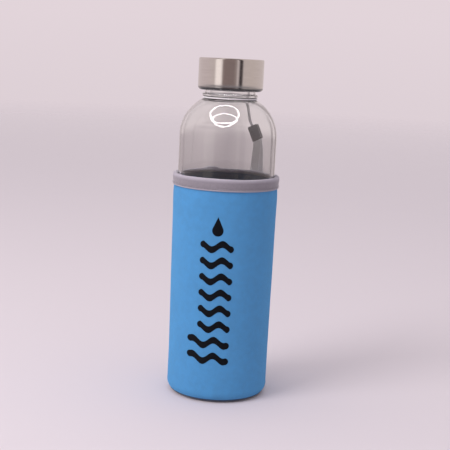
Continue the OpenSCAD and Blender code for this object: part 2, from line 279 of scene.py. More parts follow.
def swept(route, section, level=None):
    """A bmesh swept along a route from a closed section, with a UV map of metres across and along.

    With level, the section's first axis keeps to that direction; without, it turns as little as it can."""
    bm = bmesh.new()
    order = bm.verts.layers.int.new("order")
    count = len(section)
    tangents = [
        (route[min(i + 1, len(route) - 1)] - route[max(i - 1, 0)]).normalized() for i in range(len(route))
    ]
    side = (level or tangents[0].orthogonal()).normalized()
    along = 0.0
    placed = {}
    ring = []
    for i, (centre, tangent) in enumerate(zip(route, tangents)):
        if level:
            side = level.normalized()
        side = (side - side.dot(tangent) * tangent).normalized()
        out = side.cross(tangent)
        if i:
            along += (centre - route[i - 1]).length
        places = [centre + s[0] * side + s[1] * out for s in section]
        if not ring:
            ring = [bm.verts.new(p) for p in places]
            for j, v in enumerate(ring):
                v[order] = j
            edges = [bm.edges.new((ring[j], ring[(j + 1) % count])) for j in range(count)]
        else:
            made = bmesh.ops.extrude_edge_only(bm, edges=edges)["geom"]
            ring = sorted((g for g in made if isinstance(g, bmesh.types.BMVert)), key=lambda v: v[order])
            edges = [
                g for g in made if isinstance(g, bmesh.types.BMEdge)
                and abs(g.verts[0][order] - g.verts[1][order]) in (1, count - 1)
                and all(v not in placed for v in g.verts)
            ]
            for v, p in zip(ring, places):
                v.co = p
        for v in ring:
            placed[v] = along
    bmesh.ops.holes_fill(bm, edges=bm.edges, sides=count)
    bmesh.ops.recalc_face_normals(bm, faces=bm.faces)
    around = [0.0]
    for j in range(count):
        around.append(around[-1] + (Vector(section[(j + 1) % count]) - Vector(section[j])).length)
    uv = bm.loops.layers.uv.new("Lay")
    for face in bm.faces:
        wraps = len(face.verts) == 4 and {0, count - 1} <= {v[order] for v in face.verts}
        for loop in face.loops:
            j = loop.vert[order]
            loop[uv].uv = (around[count if wraps and j == 0 else j], placed[loop.vert])
    return bm


def circle(radius_x, radius_y, sides=12):
    """A closed round or oval outline."""
    turns = [TURN * i / sides for i in range(sides)]
    return [(radius_x * math.cos(a), radius_y * math.sin(a)) for a in turns]


def strap_place(out, side, up):
    """A place by the strap's upright plane: out from the axis, sideways to the left, up. Millimetres."""
    c, s = math.cos(STRAP_ANGLE), math.sin(STRAP_ANGLE)
    return MM * Vector((out * c - side * s, out * s + side * c, up))


# ---- Shared ways of making a material ----


def fill(tree, socket, value):
    """Joins a socket to another one or sets its value, and leaves it alone for None."""
    if isinstance(value, bpy.types.NodeSocket):
        tree.links.new(value, socket)
    elif value is not None:
        socket.default_value = value


def add_node(tree, kind, *inputs, **settings):
    """Adds a shader node, with its inputs in order as values or sockets."""
    node = tree.nodes.new("ShaderNode" + kind)
    for key, value in settings.items():
        setattr(node, key, value)
    for socket, value in zip(node.inputs, inputs):
        fill(tree, socket, value)
    return node


def add_mix(tree, factor, a, b, blend="MIX"):
    """Adds a mix of two colours and gives its result."""
    node = add_node(tree, "Mix", factor, data_type="RGBA", blend_type=blend)
    for socket, value in ((node.inputs[6], a), (node.inputs[7], b)):
        fill(tree, socket, value if isinstance(value, bpy.types.NodeSocket) else (*value, 1.0))
    return node.outputs[2]


class Shade:
    """A material, its main shader and short ways to add nodes to it."""

    def __init__(self, name, **settings):
        self.material = bpy.data.materials.new(name)
        self.material.use_nodes = True
        self.tree = self.material.node_tree
        self.shader = self.tree.nodes["Principled BSDF"]
        for socket, value in settings.items():
            self.set(socket.replace("_", " "), value)

    def set(self, socket, value):
        """Sets a socket of the main shader."""
        if socket.endswith(("Color", "Tint")):
            value = (*value, 1.0)
        self.shader.inputs[socket].default_value = value

    def drive(self, socket, source):
        """Joins a value to a socket of the main shader."""
        self.tree.links.new(source, self.shader.inputs[socket])

    def colour(self, source):
        """Joins a colour to the main shader."""
        self.drive("Base Color", source)

    def rough(self, value, *limits):
        """Lets a value set the roughness: low and high of the value, then the roughness at each."""
        self.drive("Roughness", self.range(value, *limits))

    def relief(self, height, strength, distance, under=None):
        """Lets a height set the main shader's bump, over another bump."""
        self.drive("Normal", self.bump(height, strength, distance, under))

    def add(self, kind, *inputs, output=0, **settings):
        """Adds a node, with its inputs in order as values or sockets, and gives one of its outputs."""
        return add_node(self.tree, kind, *inputs, **settings).outputs[output]

    def named(self, kind, **inputs):
        """Adds a node, with its inputs by name, and gives its first output."""
        node = add_node(self.tree, kind)
        for name, value in inputs.items():
            fill(self.tree, node.inputs[name], value)
        return node.outputs[0]

    def math(self, operation, *inputs):
        """Adds a Math node."""
        return self.add("Math", *inputs, operation=operation)

    def times(self, a, b):
        """A product."""
        return self.math("MULTIPLY", a, b)

    def plus(self, a, b):
        """A sum."""
        return self.math("ADD", a, b)

    def line(self, value, slope, start):
        """A value times a slope, plus a start."""
        return self.math("MULTIPLY_ADD", value, slope, start)

    def place(self):
        """Object coordinates in metres."""
        return self.add("TexCoord", output=3)

    def scaled(self, vector, factors):
        """A vector through a Mapping node."""
        return self.add("Mapping", vector, None, None, factors)

    def split(self, vector):
        """The three parts of a vector."""
        return self.add("SeparateXYZ", vector).node.outputs

    def noise(self, vector, scale, detail=3.0, roughness=0.55):
        """Noise from 0 to 1."""
        return self.named("TexNoise", Vector=vector, Scale=scale, Detail=detail, Roughness=roughness)

    def range(self, value, low, high, new_low, new_high):
        """A value moved from one range to another and kept in it."""
        return self.add("MapRange", value, low, high, new_low, new_high)

    def mix(self, factor, a, b):
        """A mix of two colours."""
        return add_mix(self.tree, factor, a, b)

    def tone(self, value, low, high, share, a, b):
        """A colour that goes from a to a share of b as a value goes from low to high."""
        return self.mix(self.range(value, low, high, 0.0, share), a, b)

    def bump(self, height, strength, distance, under=None):
        """Bump from a height, over another bump."""
        return self.named("Bump", Strength=strength, Distance=distance, Height=height, Normal=under)

    def radius(self, x, y):
        """Distance from the axis."""
        return self.math("SQRT", self.plus(self.times(x, x), self.times(y, y)))

    def wrapped(self, radius):
        """Millimetres round a cylinder of that radius, and millimetres up it."""
        x, y, z = self.split(self.place())
        return self.times(self.math("ARCTAN2", y, x), radius / MM), self.times(z, 1 / MM)

    def half_wave(self, value):
        """The sine of a value, moved to 0 to 1."""
        return self.line(self.math("SINE", value), 0.5, 0.5)

    def wave(self, value, period):
        """A smooth wave from 0 to 1 along a value, with that period."""
        return self.half_wave(self.times(value, TURN / period))


def tinted(colour_value, factor):
    """A colour made darker or lighter."""
    return tuple(min(1.0, c * factor) for c in colour_value)


def knit_finish(name, base, radius=SLEEVE_RADIUS, fuzz=0.5):
    """Fine jersey: columns of small V-shaped loops, with soft mottling and a little fuzz."""
    shade = Shade(name, Roughness=0.88, Sheen_Weight=fuzz, Sheen_Roughness=0.45)
    around, up = shade.wrapped(radius)
    column = shade.math("FRACT", shade.math("DIVIDE", around, WALE))
    leg = shade.math("ABSOLUTE", shade.math("SUBTRACT", column, 0.5))
    slant = shade.line(leg, 1.1, shade.math("DIVIDE", up, COURSE))
    loop = shade.half_wave(shade.times(slant, TURN))
    rib = shade.math("SINE", shade.times(column, math.pi))
    height = shade.times(shade.math("POWER", rib, 0.6), shade.line(loop, 0.6, 0.4))
    place = shade.place()
    mottle = shade.noise(place, 260, 4)
    patch = shade.noise(place, 38)
    worn = shade.tone(patch, 0.35, 0.7, 1.0, tinted(base, 0.96), tinted(base, 1.05))
    # Painted shade: the knit colour is darkened to 0.7 where the loops sink low, standing in for the shade in
    # the grooves between them.
    yarn_with_painted_groove_shade = shade.mix(height, tinted(base, 0.70), worn)
    shade.colour(shade.tone(mottle, 0.35, 0.68, 0.22, yarn_with_painted_groove_shade, tinted(base, 1.22)))
    shade.rough(mottle, 0.3, 0.7, 0.80, 0.95)
    shade.relief(height, 0.55, 0.00012, shade.bump(patch, 0.35, 0.0006))
    shade.set("Sheen Tint", tinted(base, 1.8))
    return shade.material


def thread_finish(name, base):
    """Twisted thread with fine diagonal plies."""
    shade = Shade(name, Roughness=0.62, Sheen_Weight=0.3)
    place = shade.place()
    x, y, z = shade.split(place)
    ply = shade.half_wave(shade.times(shade.plus(z, shade.plus(x, y)), 5200.0))
    # Painted shade: the low side of each ply is darkened to 0.62, standing in for the shade in the groove
    # between plies.
    shade.colour(shade.mix(ply, tinted(base, 0.62), tinted(base, 1.2)))
    shade.rough(shade.noise(place, 900, 2), 0.3, 0.7, 0.5, 0.75)
    shade.relief(ply, 0.5, 0.00006)
    return shade.material


# ---- Stage ----


class BOTTLE_OT_stage(bpy.types.Operator):
    """Sets the camera, the floor and the soft studio light."""

    bl_idname = "bottle.stage"
    bl_label = "Stage"

    def execute(self, context):
        scene = context.scene
        scene.view_settings.view_transform = "Standard"
        self.camera(scene)
        self.floor()
        self.air(scene)
        self.lamps()
        return {"FINISHED"}

    def camera(self, scene):
        """The camera stands level with the cap and looks a little down."""
        data = bpy.data.cameras.new("camera")
        data.lens = 80.5
        data.sensor_width = 36
        data.clip_start = 0.02
        data.clip_end = 50
        camera = bpy.data.objects.new("camera", data)
        scene.collection.objects.link(camera)
        yaw, pitch, roll = -0.0012, math.radians(9.29), math.radians(2.79)
        camera.matrix_world = (
            Matrix.Translation((0, -0.6545, 0.2187))
            @ Matrix.Rotation(yaw, 4, "Z")
            @ Matrix.Rotation(math.pi / 2 - pitch, 4, "X")
            @ Matrix.Rotation(roll, 4, "Z")
        )
        scene.camera = camera

    def floor(self):
        """A pale disc that thins out towards its edge."""
        bm = bmesh.new()
        bmesh.ops.create_circle(bm, cap_ends=True, cap_tris=False, segments=96, radius=6)
        shade = Shade("studio_floor", Roughness=0.85)
        place = shade.place()
        x, y, _ = shade.split(place)
        base = colours().floor
        shade.colour(shade.mix(shade.noise(place, 900), tinted(base, 0.99), tinted(base, 1.01)))
        shade.drive("Alpha", shade.range(shade.radius(x, y), 0.9, 4.0, 1.0, 0.0))
        floor = add_piece(bm, "studio_floor", shade.material)
        floor.visible_glossy = False
        floor.visible_transmission = False

    def air(self, scene):
        """The room's light: pale behind, brighter from the left, with bands for the steel to mirror."""
        world = bpy.data.worlds.new("studio_air")
        scene.world = world
        world.use_nodes = True
        tree = world.node_tree
        tree.nodes.clear()

        def node(kind, *inputs, **settings):
            return add_node(tree, kind, *inputs, **settings)

        def at(degrees):
            """The place on a ramp round the room of an angle to the right of the front."""
            return 0.5 + degrees / 360

        def ramp(value, *stops):
            """A colour ramp from stops of a place and a colour."""
            made = node("ValToRGB", value)
            elements = made.color_ramp.elements
            while len(elements) > 1:
                elements.remove(elements[-1])
            elements[0].position, elements[0].color = stops[0][0], (*stops[0][1], 1)
            for place, shade_colour in stops[1:]:
                elements.new(place).color = (*shade_colour, 1)
            return made.outputs[0]

        def risen(low, high):
            """From 0 to 1 as the direction rises from low to high."""
            return node("MapRange", z, low, high, 0.0, 1.0).outputs[0]

        x, y, z = node("SeparateXYZ", node("TexCoord").outputs["Generated"]).outputs
        # 0 and 1 are behind the bottle, 0.5 is in front of it, and less than 0.5 is to the left.
        front = node("Math", y, -1.0, operation="MULTIPLY").outputs[0]
        angle = node("Math", x, front, operation="ARCTAN2").outputs[0]
        azimuth = node("Math", angle, 1 / TURN, 0.5, operation="MULTIPLY_ADD").outputs[0]
        rise = risen(-1.0, 1.0)

        backdrop = ramp(
            rise, (0.40, (0.66, 0.58, 0.62)), (0.52, (0.76, 0.66, 0.70)), (0.75, (0.80, 0.70, 0.72)),
        )
        # What the glass shows behind it, darker low down and in narrow zones at both sides.
        through = ramp(
            rise, (0.37, (0.60, 0.54, 0.57)), (0.445, (0.44, 0.375, 0.395)), (0.462, (0.49, 0.42, 0.44)),
            (0.479, (0.72, 0.63, 0.64)), (0.60, (0.78, 0.69, 0.71)),
        )
        full, soft, faint, seam = (1.0, 1.0, 1.0), (0.75, 0.74, 0.75), (0.95, 0.95, 0.95), (0.84, 0.84, 0.85)
        glow = (1.05, 1.05, 1.05)
        edges = ramp(
            azimuth, (0.0, seam), (0.004, faint), (0.008, glow), (0.036, full), (0.046, soft), (0.062, soft),
            (0.075, full), (0.925, full), (0.938, (0.35, 0.34, 0.35)), (0.956, (0.30, 0.29, 0.30)),
            (0.964, full), (0.992, glow), (0.996, faint), (1.0, seam),
        )
        # What the steel mirrors round the room, and the dim floor under it.
        behind, grey, pale = (0.66, 0.58, 0.58), (0.60, 0.52, 0.50), (1.12, 1.02, 0.98)
        lit, dark, deep = (0.62, 0.54, 0.53), (0.24, 0.18, 0.17), (0.03, 0.02, 0.022)
        bands = ramp(
            azimuth, (0.0, behind), (at(-100), (0.62, 0.53, 0.53)), (at(-60), grey), (at(-54), pale),
            (at(-36), pale), (at(-28), dark), (at(10), dark), (at(19), (0.34, 0.28, 0.26)), (at(22), lit),
            (at(27), lit), (at(30), deep), (at(40), deep), (at(43), grey), (at(80), (0.60, 0.52, 0.49)),
            (1.0, behind),
        )
        below = ramp(
            rise, (0.0, (0.03, 0.028, 0.032)), (0.12, (0.05, 0.046, 0.052)), (0.26, (0.22, 0.21, 0.23)),
            (0.36, (0.30, 0.285, 0.30)),
        )
        # What lights the cloth and the plastic: bright from the left, dimmer from the right.
        fill_light = ramp(
            azimuth, (0.0, (0.62, 0.60, 0.66)), (at(-120), (0.95, 0.90, 0.96)), (at(-60), (1.15, 1.08, 1.12)),
            (at(0), (0.55, 0.52, 0.57)), (at(60), (0.42, 0.40, 0.46)), (at(130), (0.45, 0.43, 0.50)),
            (1.0, (0.62, 0.60, 0.66)),
        )
        mirrored = add_mix(tree, risen(-0.40, -0.24), below, bands)
        overhead = add_mix(tree, risen(0.25, 0.9), fill_light, (0.95, 0.90, 0.93))
        shaded = add_mix(tree, 1.0, through, edges, "MULTIPLY")
        path = node("LightPath").outputs
        whole = node("Background", overhead, 1.0).outputs[0]
        for ray, view in (("Glossy", mirrored), ("Transmission", shaded), ("Camera", backdrop)):
            seen = node("Background", view, 1.0).outputs[0]
            whole = node("MixShader", path[f"Is {ray} Ray"], whole, seen).outputs[0]
        tree.links.new(whole, node("OutputWorld").inputs[0])

    def lamps(self):
        """A broad soft lamp from the upper left, and two ring lamps overhead."""
        data = bpy.data.lights.new("soft_lamp", "AREA")
        data.shape = "DISK"
        data.size = 0.7
        data.energy = 9
        data.color = (1.0, 0.95, 0.96)
        lamp = bpy.data.objects.new("soft_lamp", data)
        bpy.context.scene.collection.objects.link(lamp)
        place = Vector((-0.85, -0.65, 0.95))
        lamp.location = place
        lamp.rotation_euler = (Vector((0, 0, 0.08)) - place).to_track_quat("-Z", "Y").to_euler()
        lamp.visible_glossy = False
        lamp.visible_transmission = False

        self.ring("ring_lamp", middle=(-0.008, 0.015), radii=(0.262, 0.322), tube=0.015, turn=17)
        self.ring("small_ring_lamp", middle=(0.028, -0.078), radii=(0.246, 0.126), tube=0.024, turn=14)

    def ring(self, name, middle, radii, tube, turn):
        """An oval ring lamp over the front, seen only as its reflection in the glass."""
        bm = turned([(1 + x, z) for x, z in circle(tube / radii[0], tube)], 96)
        aim = Vector((-0.159, -0.436, 0.886)).normalized()
        centre = Vector((-0.002, -0.026, 0.186)) + aim * 0.48
        place = (
            Matrix.Translation(centre)
            @ aim.to_track_quat("Z", "Y").to_matrix().to_4x4()
            @ Matrix.Translation((*middle, 0))
            @ Matrix.Rotation(math.radians(turn), 4, "Z")
            @ Matrix.Diagonal((*radii, 1, 1))
        )
        bmesh.ops.transform(bm, matrix=place, verts=bm.verts)
        shade = Shade(name, Roughness=0.5)
        glow = shade.named("Emission", Color=(1.0, 0.96, 0.97, 1), Strength=22)
        shade.tree.links.new(glow, shade.tree.nodes["Material Output"].inputs[0])
        ring = add_piece(bm, name, shade.material)
        ring.visible_diffuse = False
        ring.visible_camera = False
        ring.visible_shadow = False
        ring.visible_transmission = False


# ---- Strap ----

# Points of the cord and of the strap: out from the axis, sideways to the left, up. Millimetres.
STRAND_ROUTE = [
    (20.5, -1.7, 193.1), (22.4, -0.9, 191.6), (24.2, -0.1, 190), (25.9, 0.6, 188.1), (27.4, 1.2, 186.1),
    (28.7, 1.7, 184), (29.8, 2, 181.9), (31, 2.1, 179.8), (32.3, 1.9, 178), (33.6, 1.4, 176),
]
WEBBING_ROUTE = [
    (33.7, -2.6, 168), (33.8, -3.1, 165.5), (34.1, -3, 162), (34.9, -2.2, 157),
    (35.8, -1.2, 152), (36.4, -0.4, 147), (36.5, 0, 140), (36.5, 0, 125),
    (36.5, 0, 110), (36.5, 0, 95), (36.5, 0, 80), (36.5, 0, 65),
    (36.5, 0, 50), (36.6, 0, 38), (37.9, 0, 33), (41.6, 0, 29.3),
    (46.6, 0, 28), (51.6, 0, 29.3), (55.3, 0, 33), (56.6, 0, 38),
    (56.6, 0, 48), (55.8, 0, 60), (54.2, 0, 72), (52.2, 0, 85),
    (49.9, -0.2, 98), (47.4, -0.6, 111), (44.9, -1.2, 124), (42.4, -2, 136),
    (40.1, -2.8, 147), (38.3, -3.3, 155), (36.8, -3.5, 161), (35.5, -3.2, 165.5),
    (35, -2.6, 168),
]
CLAMP_AT = (34.4, -0.9, 171.6)
STRAND_GAP = 0.6
RING_RADIUS = 17.1
RING_HEIGHT = 194.79


def cord_route():
    """The thin cord's route: up one strand, round the neck and back down the other."""
    first = [(o, s + STRAND_GAP, u) for o, s, u in reversed(STRAND_ROUTE)]
    last = [(o, s - STRAND_GAP, u) for o, s, u in STRAND_ROUTE]
    turns = [math.radians(degrees) for degrees in range(14, 333, 11)]
    round_neck = [(RING_RADIUS * math.cos(a), RING_RADIUS * math.sin(a), RING_HEIGHT) for a in turns]
    onto = [(18.9, -1.55, 194.1), (17.9, -0.5, 194.6), (17.3, 1.4, 194.75)]
    off = [(16.6, -5.8, 194.75), (17.5, -4.3, 194.6), (18.7, -3.05, 194.15)]
    return smooth_route([strap_place(*p) for p in first + onto + round_neck + off + last], 0.5 * MM)


class BOTTLE_OT_neck_cord(bpy.types.Operator):
    """Makes the thin braided cord that loops round the neck."""

    bl_idname = "bottle.neck_cord"
    bl_label = "Neck cord"

    def execute(self, context):
        route = cord_route()
        base = colours().cord
        shade = Shade("braided_cord", Roughness=0.7, Sheen_Weight=0.35)
        u, v, _ = shade.split(shade.add("UVMap", uv_map="Lay"))
        across = shade.times(u, 3.8 / MM)
        along = shade.times(v, 5.4 / MM)
        one = shade.math("SINE", shade.plus(along, across))
        two = shade.math("SINE", shade.math("SUBTRACT", along, across))
        braid = shade.line(shade.math("MAXIMUM", one, two), 0.5, 0.5)
        fibre = shade.noise(shade.place(), 3000, 2)
        # Painted shade: the braid is darkened to 0.7 where it sinks low, standing in for the shade between its
        # strands.
        yarn_with_painted_groove_shade = shade.mix(braid, tinted(base, 0.7), tinted(base, 1.1))
        shade.colour(shade.tone(fibre, 0.3, 0.7, 0.3, yarn_with_painted_groove_shade, tinted(base, 1.2)))
        shade.rough(fibre, 0.3, 0.7, 0.6, 0.85)
        shade.relief(braid, 0.7, 0.00012)
        size = sizes().cord_size
        cord = add_piece(
            swept(route, circle(size / 2, size / 2)), "neck_cord", shade.material,
            nodes=("neck_loop", "strap_strands"), sharp=60,
        )
        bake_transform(cord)
        return {"FINISHED"}


class BOTTLE_OT_strap(bpy.types.Operator):
    """Makes the woven strap's hanging loop."""

    bl_idname = "bottle.strap"
    bl_label = "Woven strap"

    def execute(self, context):
        size = sizes()
        route = smooth_route([strap_place(*p) for p in WEBBING_ROUTE], 1.2 * MM)
        half, flat = size.strap_width / 2, size.strap_thickness / 2
        section = [
            (half * math.copysign(abs(c) ** 0.45, c), flat * math.copysign(abs(s) ** 0.6, s))
            for c, s in circle(1, 1, 24)
        ]
        bm = swept(route, section, strap_place(0, 1, 0))
        for v in bm.verts:
            v.co += v.normal * 0.00005 * wobble(v.co, 0.004, 1.0)
        strap = add_piece(
            bm, "woven_strap", self.finish(), body="strap", nodes=("webbing_loop",),
            sharp=60,
        )
        return {"FINISHED"}

    def finish(self):
        """A plain weave of flat yarns with ribs along the strap."""
        # Painted light: this pale colour makes up for the shade the strap sits in behind the glass.
        base = colours().webbing
        yarn_width, pick = 0.62, 1.1
        shade = Shade("woven_webbing", Roughness=0.78, Sheen_Weight=0.4, Sheen_Roughness=0.4)
        u, v, _ = shade.split(shade.add("UVMap", uv_map="Lay"))
        across = shade.times(u, 1 / MM)
        along = shade.times(v, 1 / MM)
        warp = shade.math("ABSOLUTE", shade.math("SINE", shade.times(across, math.pi / yarn_width)))
        column = shade.math("FLOOR", shade.math("DIVIDE", across, yarn_width))
        step = shade.times(shade.math("MODULO", column, 2.0), math.pi)
        weft = shade.math("SINE", shade.line(along, TURN / pick, step))
        height = shade.times(shade.math("POWER", warp, 0.7), shade.line(weft, 0.35, 0.65))
        fibre = shade.noise(shade.place(), 2200, 2)
        patch = shade.noise(shade.place(), 90, 2)
        # Painted shade: the weave is darkened to 0.6 where its yarns sink low, standing in for the shade in
        # the gaps between them.
        yarn_with_painted_groove_shade = shade.mix(height, tinted(base, 0.6), tinted(base, 1.1))
        worn = shade.tone(patch, 0.4, 0.7, 0.25, yarn_with_painted_groove_shade, tinted(base, 1.4))
        shade.colour(shade.tone(fibre, 0.3, 0.7, 0.2, worn, tinted(base, 1.5)))
        shade.rough(fibre, 0.3, 0.7, 0.7, 0.9)
        shade.relief(height, 0.8, 0.0002)
        return shade.material


def bevel(bm, edges, offset, segments):
    """Rounds edges and gives what was made."""
    return bmesh.ops.bevel(
        bm, geom=edges, offset=offset * MM, offset_type="OFFSET", affect="EDGES", segments=segments,
        profile=0.5, material=-1, clamp_overlap=True,
    )


def block(bm, sizes_mm):
    """Adds a box about the origin and gives its corners."""
    corners = bmesh.ops.create_cube(bm, size=1)["verts"]
    bmesh.ops.scale(bm, vec=[x * MM for x in sizes_mm], verts=corners)
    return corners


class BOTTLE_OT_clamp(bpy.types.Operator):
    """Makes the moulded clamp that joins the cord and the strap."""

    bl_idname = "bottle.clamp"
    bl_label = "Clamp"

    def execute(self, context):
        bm = bmesh.new()
        block(bm, (3.4, 8, 11))
        bevel(bm, [e for e in bm.edges if abs(e.verts[0].co.x - e.verts[1].co.x) > 1e-6], 1.0, 5)
        faces = [f for f in bm.faces if abs(f.normal.x) > 0.99]
        inset = bmesh.ops.inset_region(
            bm, faces=faces, thickness=0.9 * MM, depth=-0.12 * MM, use_even_offset=True
        )
        rims = {e for f in faces for e in f.edges} | {e for f in inset["faces"] for e in f.edges}
        bevel(bm, list(rims), 0.16, 3)
        # Three grip bars lie in the shallow panel of each face.
        for side in (-1, 1):
            for k in (-1, 0, 1):
                bar = block(bm, (0.36, 5.0, 0.7))
                smooth = bevel(bm, list({e for v in bar for e in v.link_edges}), 0.14, 2)
                moved = list({v for f in smooth["faces"] for v in f.verts})
                bmesh.ops.translate(bm, vec=(side * 1.46 * MM, 0, k * 1.9 * MM), verts=moved)
        bmesh.ops.recalc_face_normals(bm, faces=bm.faces)
        lean = (
            Matrix.Translation(strap_place(*CLAMP_AT))
            @ Matrix.Rotation(STRAP_ANGLE, 4, "Z")
            @ Matrix.Rotation(math.radians(-24), 4, "X")
            @ Matrix.Rotation(math.radians(-4), 4, "Y")
        )
        bmesh.ops.transform(bm, matrix=lean, verts=bm.verts)
        base = colours().clamp
        shade = Shade("moulded_clamp", Roughness=0.5, IOR=1.46)
        place = shade.place()
        grain = shade.noise(place, 2600)
        shade.colour(shade.tone(shade.noise(place, 300), 0.4, 0.7, 0.4, base, tinted(base, 1.7)))
        shade.rough(grain, 0.3, 0.7, 0.42, 0.62)
        shade.relief(grain, 0.25, 0.00004)
        add_piece(
            bm, "clamp", shade.material, body="strap", nodes=("strap_clamp",), sharp=50
        )
        return {"FINISHED"}


# ---- Glass ----


class BOTTLE_OT_glass(bpy.types.Operator):
    """Makes the blown glass bottle with its bead, mouth and thread."""

    bl_idname = "bottle.glass"
    bl_label = "Glass bottle"

    def profile(self, size):
        """Outline of the glass: up the outside from the foot, and down the inside."""
        body, wall, heel, round_r = size.body_radius, size.glass_wall, size.heel_radius, size.shoulder_radius
        neck, mouth, bead, top = size.neck_radius, size.mouth_radius, size.bead_radius, size.rim_height
        shoulder, shoulder_x = size.shoulder_start, size.body_radius - size.shoulder_radius
        base, floor, push, small = BASE_HEIGHT, 7 * MM, 3 * MM, 0.25 * MM
        bead_round, rim_round, throat = 0.6 * MM, 0.9 * MM, 2 * MM
        foot, heel_x = body - heel - 5.5 * MM, body - heel
        bead_high = top - FINISH_HEIGHT
        bead_low = bead_high - size.bead_height
        big = (foot * foot + push * push) / (2 * push)
        lean = math.degrees(math.asin(foot / big))
        meet = math.degrees(math.acos((neck - shoulder_x) / round_r))
        join = shoulder + round_r * math.sin(math.radians(meet))
        outside = arc(0, base + push - big, big, 90, 90 - lean, 14)
        outside += arc(heel_x, base + heel, heel, -90, 0, 12)
        outside += line((body, base + heel), (body, shoulder), 24)
        outside += arc(shoulder_x, shoulder, round_r, 0, meet - 3, 30)
        outside += [(neck + 0.12 * MM, join + small), (neck, join + 0.9 * MM)]
        outside += [(neck, bead_low - small), (neck + small, bead_low)]
        outside += arc(bead - bead_round, bead_low + bead_round, bead_round, -90, 0, 5)
        outside += arc(bead - bead_round, bead_high - bead_round, bead_round, 0, 90, 5)
        outside += [(neck + small, bead_high), (neck, bead_high + small)]
        outside += line((neck, bead_high + small), (neck, top - rim_round), 50)
        outside += arc(neck - rim_round, top - rim_round, rim_round, 0, 90, 6)
        inner_heel, inner_round = heel + 2 * MM, round_r - wall
        inner_x = body - wall - inner_heel
        x = mouth + throat
        z = shoulder + math.sqrt((inner_round + throat) ** 2 - (x - shoulder_x) ** 2)
        opening = math.degrees(math.atan2(z - shoulder, x - shoulder_x))
        inside = arc(mouth + rim_round, top - rim_round, rim_round, 90, 180, 6)
        inside += arc(x, z, throat, 180, 180 + opening, 8)
        inside += arc(shoulder_x, shoulder, inner_round, opening, 0, 30)[1:]
        inside += line((body - wall, shoulder), (body - wall, floor + inner_heel), 24)
        inside += arc(inner_x, floor + inner_heel, inner_heel, 0, -90, 12)
        inside += line((inner_x, floor), (0, floor + push), 8)
        return outside + inside + [(0, floor + push)]

    def ridge(self, size, place):
        """How far the thread's ridge stands out at a place on the neck."""
        x, y, z = place
        start = size.rim_height - 11.5 * MM
        out = 0.0
        for lap in (0, 1):
            turns = math.atan2(y, x) % TURN / TURN + lap
            if turns <= THREAD_TURNS:
                gap = abs(z - start - size.thread_pitch * turns)
                side = kept((1.0 * MM - gap) / (0.6 * MM))
                fade = min(1.0, turns / 0.1 + 0.1, (THREAD_TURNS - turns) / 0.1 + 0.1)
                out = max(out, size.ridge_height * side * side * (3 - 2 * side) * max(0.0, fade))
        return out

    def execute(self, context):
        size = sizes()
        bm = turned(self.profile(size), closed=False)
        neck_low, neck_high = size.rim_height - 18 * MM, size.rim_height - 0.85 * MM
        hollow_low, hollow_high, middle = 12 * MM, 192 * MM, 14 * MM
        for v in bm.verts:
            z = v.co.z
            radius = math.hypot(v.co.x, v.co.y)
            inside = middle < radius < size.body_radius - 0.5 * size.glass_wall
            if abs(radius - size.neck_radius) < 1e-5 and neck_low < z < neck_high:
                push_out(v, self.ridge(size, v.co))
            elif inside and hollow_low < z < hollow_high:
                # The inside of blown glass is never quite even.
                push_out(v, 0.09 * MM * wobble(v.co, 0.022, 3.0))
        shade = Shade("blown_glass", Roughness=0.0, IOR=1.5, Transmission_Weight=1.0)
        shade.set("Base Color", colours().glass)
        place = shade.place()
        shade.relief(shade.noise(shade.scaled(place, (1, 1, 0.35)), 45, 2), 0.12, 0.0006)
        shade.rough(shade.noise(place, 120, 4), 0.55, 0.8, 0.0, 0.035)
        glass = add_piece(
            bm, "bottle_glass", shade.material, body="bottle", nodes=("glass_bottle",),
            sharp=80,
        )
        # Only the glass mirrors the ring lamps.
        mirrors = bpy.data.collections.new("ring_lamp_mirrors")
        mirrors.objects.link(glass)
        for name in ("ring_lamp", "small_ring_lamp"):
            bpy.data.objects[name].light_linking.receiver_collection = mirrors
        return {"FINISHED"}


# ---- Cap ----


